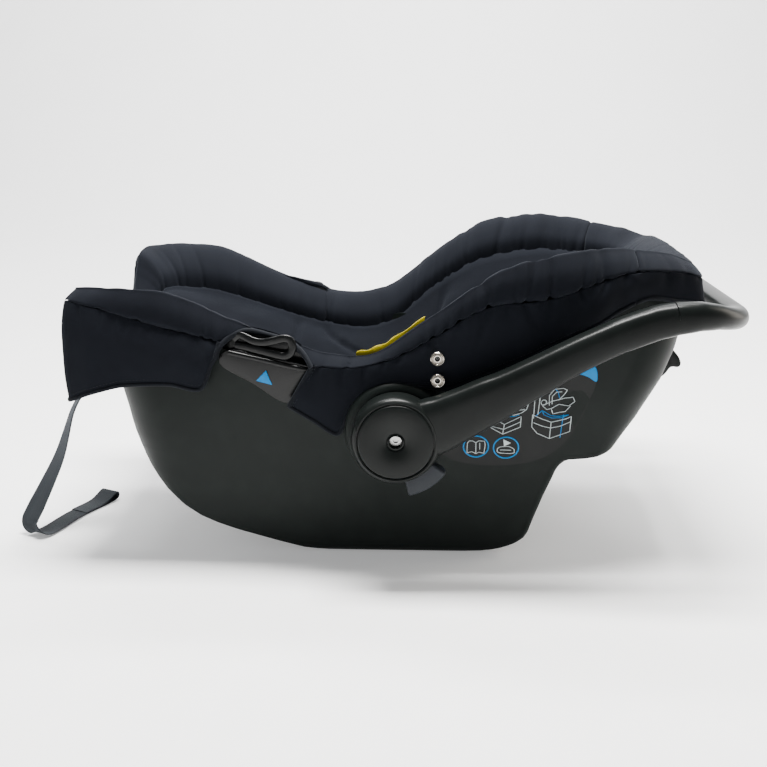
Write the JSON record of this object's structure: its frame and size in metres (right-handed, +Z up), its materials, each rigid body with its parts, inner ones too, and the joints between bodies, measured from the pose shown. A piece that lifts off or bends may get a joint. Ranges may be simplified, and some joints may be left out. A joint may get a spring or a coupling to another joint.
{
  "type": "infant car seat",
  "caption": "Infant carrier with a moulded rocker shell, padded fabric cover, harness, lap belt guides and a swing handle that locks at its hubs.",
  "frame": {"origin": "middle of the carrier, on the surface the rocker stands on", "axes": "X from the foot end (-) to the head end (+), Y across, +Z up"},
  "size_m": [0.7838, 0.435, 0.3454],
  "materials": {
    "cover_fabric": "fine plain weave, blue-black",
    "pad_fabric": "fine plain weave, blue-black",
    "shell_plastic": "moulded, lightly grained, green-black",
    "handle_plastic": "moulded, lightly grained, green-black",
    "guide_plastic": "polished black",
    "mark_blue": "blue",
    "label_film": "printed film",
    "label_yellow": "yellow",
    "tab_plastic": "slate grey",
    "steel": "zinc plated",
    "nickel": "nickel plated",
    "gear_plastic": "glass-filled nylon",
    "button_red": "red",
    "buckle_plastic": "black",
    "foam": "expanded foam",
    "webbing": "woven webbing"
  },
  "bodies": {
    "seat": {"adjuster_housing": "buckle_plastic", "adjuster_pin": "steel", "adjuster_strap": "webbing", "adjuster_strap_loop": "webbing", "belt_guide_left": "guide_plastic", "belt_guide_right": "guide_plastic", "belt_mark_left": "mark_blue", "belt_mark_right": "mark_blue", "buckle_body": "buckle_plastic", "buckle_tongue_left": "steel", "buckle_tongue_right": "steel", "cover_foot": "cover_fabric", "cover_head": "cover_fabric", "cover_side_left": "cover_fabric", "cover_side_right": "cover_fabric", "crotch_anchor": "steel", "crotch_pad": "pad_fabric", "crotch_strap": "webbing", "foam_liner": "foam", "head_support": "pad_fabric", "hook_screws": "steel", "inner_strap": "webbing", "instruction_label_left": "label_film", "instruction_label_right": "label_film", "pivot_bolt_left": "steel", "pivot_bolt_right": "steel", "pivot_nut_left": "steel", "pivot_nut_right": "steel", "pivot_washer_left": "steel", "pivot_washer_right": "steel", "rear_strap_left": "webbing", "rear_strap_right": "webbing", "ring_gear_left": "gear_plastic", "ring_gear_right": "gear_plastic", "seat_pad": "pad_fabric", "shell": "shell_plastic", "shoulder_belt_hook": "shell_plastic", "shoulder_pad_left": "pad_fabric", "shoulder_pad_right": "pad_fabric", "shoulder_strap_left": "webbing", "shoulder_strap_right": "webbing", "snap_studs": "nickel", "splitter_plate": "steel", "warning_label": "label_yellow"},
    "handle": {"handle_arm_left": "handle_plastic", "handle_arm_right": "handle_plastic", "handle_grip": "handle_plastic", "hub_cap_left": "handle_plastic", "hub_cap_right": "handle_plastic", "lock_gear_left": "gear_plastic", "lock_gear_right": "gear_plastic", "lock_spring_left": "steel", "lock_spring_right": "steel"},
    "release_tab_left": {"release_tab_left": "tab_plastic"},
    "release_tab_right": {"release_tab_right": "tab_plastic"},
    "buckle_button": {"buckle_button": "button_red"},
    "adjuster_lever": {"adjuster_lever": "buckle_plastic"}
  },
  "joints": [
    {"name": "handle_swing", "type": "hinge", "parent": "seat", "child": "handle", "pos_m": [-0.0056, 0, 0.161], "axis": [0, -1, 0], "range_deg": [0, 120]},
    {"name": "tab_press_left", "type": "slide", "parent": "handle", "child": "release_tab_left", "axis": [-0.5519, 0, 0.8339], "range_m": [0, 0.005], "stiffness_N_per_m": 600, "springref_m": -0.004},
    {"name": "tab_press_right", "type": "slide", "parent": "handle", "child": "release_tab_right", "axis": [-0.5519, 0, 0.8339], "range_m": [0, 0.005], "stiffness_N_per_m": 600, "springref_m": -0.004},
    {"name": "button_press", "type": "slide", "parent": "seat", "child": "buckle_button", "axis": [-0.3102, 0, -0.9507], "range_m": [0, 0.004], "stiffness_N_per_m": 800, "springref_m": -0.004},
    {"name": "adjuster_lever", "type": "hinge", "parent": "seat", "child": "adjuster_lever", "pos_m": [-0.3214, -0.04, 0.22], "axis": [0, -1, 0], "range_deg": [0, 14], "stiffness_Nm_per_rad": 0.08, "springref_deg": -17.19}
  ]
}
